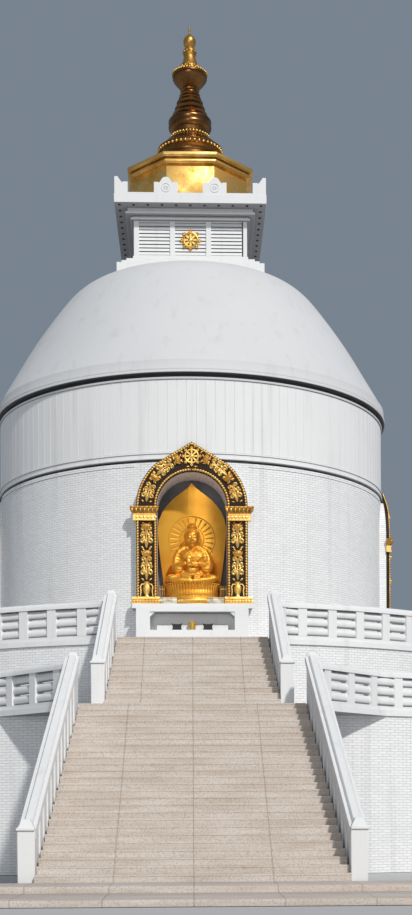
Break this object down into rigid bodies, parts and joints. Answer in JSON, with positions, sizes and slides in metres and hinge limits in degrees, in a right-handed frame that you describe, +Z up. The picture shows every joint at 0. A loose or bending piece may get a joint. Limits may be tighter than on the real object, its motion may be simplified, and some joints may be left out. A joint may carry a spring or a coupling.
{
  "type": "buddhist stupa",
  "caption": "White domed stupa on two round terraces with a wide stair, gilded niches with seated figures, a louvred box and a ringed gilded spire.",
  "frame": {"origin": "on the axis of the drum, at ground level under the lower storey", "axes": "+Z up along the axis, the stair faces -Y, +X to the right of someone who looks at the stair"},
  "size_m": [33.12, 47.26, 35.18],
  "materials": {
    "whitewash": "white painted render",
    "painted_brick": "white painted brickwork",
    "stair_stone": "worn pale stone slabs",
    "gilding": "gilded, polished on the raised parts",
    "dark_gilding": "dark gilded metal with bright rims"
  },
  "bodies": {
    "root": {"landing_steps": "stair_stone", "lower_flight": "stair_stone", "upper_flight": "stair_stone", "lower_balustrade_left": "whitewash", "lower_balustrade_right": "whitewash", "upper_balustrade_left": "whitewash", "upper_balustrade_right": "whitewash", "lower_storey": "painted_brick", "lower_terrace_floor": "whitewash", "lower_parapet_left": "whitewash", "lower_parapet_right": "whitewash", "upper_storey": "painted_brick", "upper_terrace_floor": "whitewash", "upper_parapet_left": "whitewash", "upper_parapet_right": "whitewash", "drum_core": "painted_brick", "drum_wall_front_right": "painted_brick", "drum_wall_back_right": "painted_brick", "drum_wall_back_left": "painted_brick", "drum_wall_front_left": "painted_brick", "lower_band": "whitewash", "board_band": "whitewash", "eave": "whitewash", "niche_surround_front": "whitewash", "niche_surround_right": "whitewash", "niche_surround_back": "whitewash", "niche_surround_left": "whitewash", "niche_frame_front": "gilding", "niche_frame_right": "gilding", "niche_frame_back": "gilding", "niche_frame_left": "gilding", "mandorla_front": "gilding", "mandorla_right": "gilding", "mandorla_back": "gilding", "mandorla_left": "gilding", "seated_figure_front": "gilding", "seated_figure_right": "gilding", "seated_figure_back": "gilding", "seated_figure_left": "gilding", "dome": "whitewash", "box_foot": "whitewash", "louvred_box": "whitewash", "box_cornice": "whitewash", "cornice_tablets": "whitewash", "gilded_octagon": "gilding", "ringed_spire": "dark_gilding", "parasol_and_finial": "gilding"}
  },
  "joints": []
}
